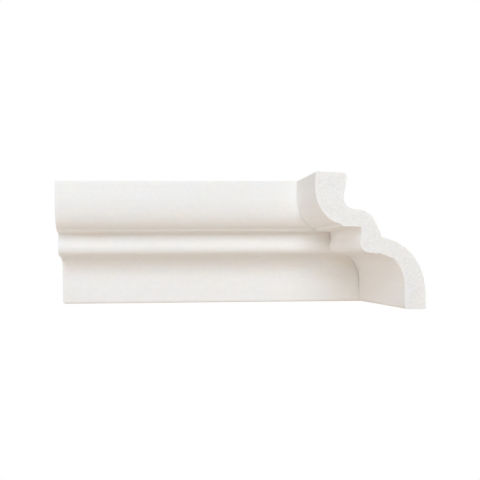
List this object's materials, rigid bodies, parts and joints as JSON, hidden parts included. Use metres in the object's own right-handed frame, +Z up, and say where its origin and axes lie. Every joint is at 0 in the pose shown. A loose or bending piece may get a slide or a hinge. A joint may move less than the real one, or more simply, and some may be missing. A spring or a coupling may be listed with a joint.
{
  "type": "crown moulding inside corner",
  "caption": "Foam crown moulding, a long run mitred into a short return as an inside corner, with an ovolo, a bead and a cove on a hollow-backed shell.",
  "frame": {"origin": "on the surface the bottom edge stands on, below the middle of the part's box", "axes": "+X along the long run towards the corner of the room, +Y towards the back wall, +Z up towards the ceiling"},
  "size_m": [0.273, 0.1694, 0.1],
  "materials": {
    "foam": "warm white rigid foam, smooth matt moulded skin, fine grain on the cut ends"
  },
  "bodies": {
    "root": {"long_run": "foam", "short_return": "foam"}
  },
  "joints": []
}
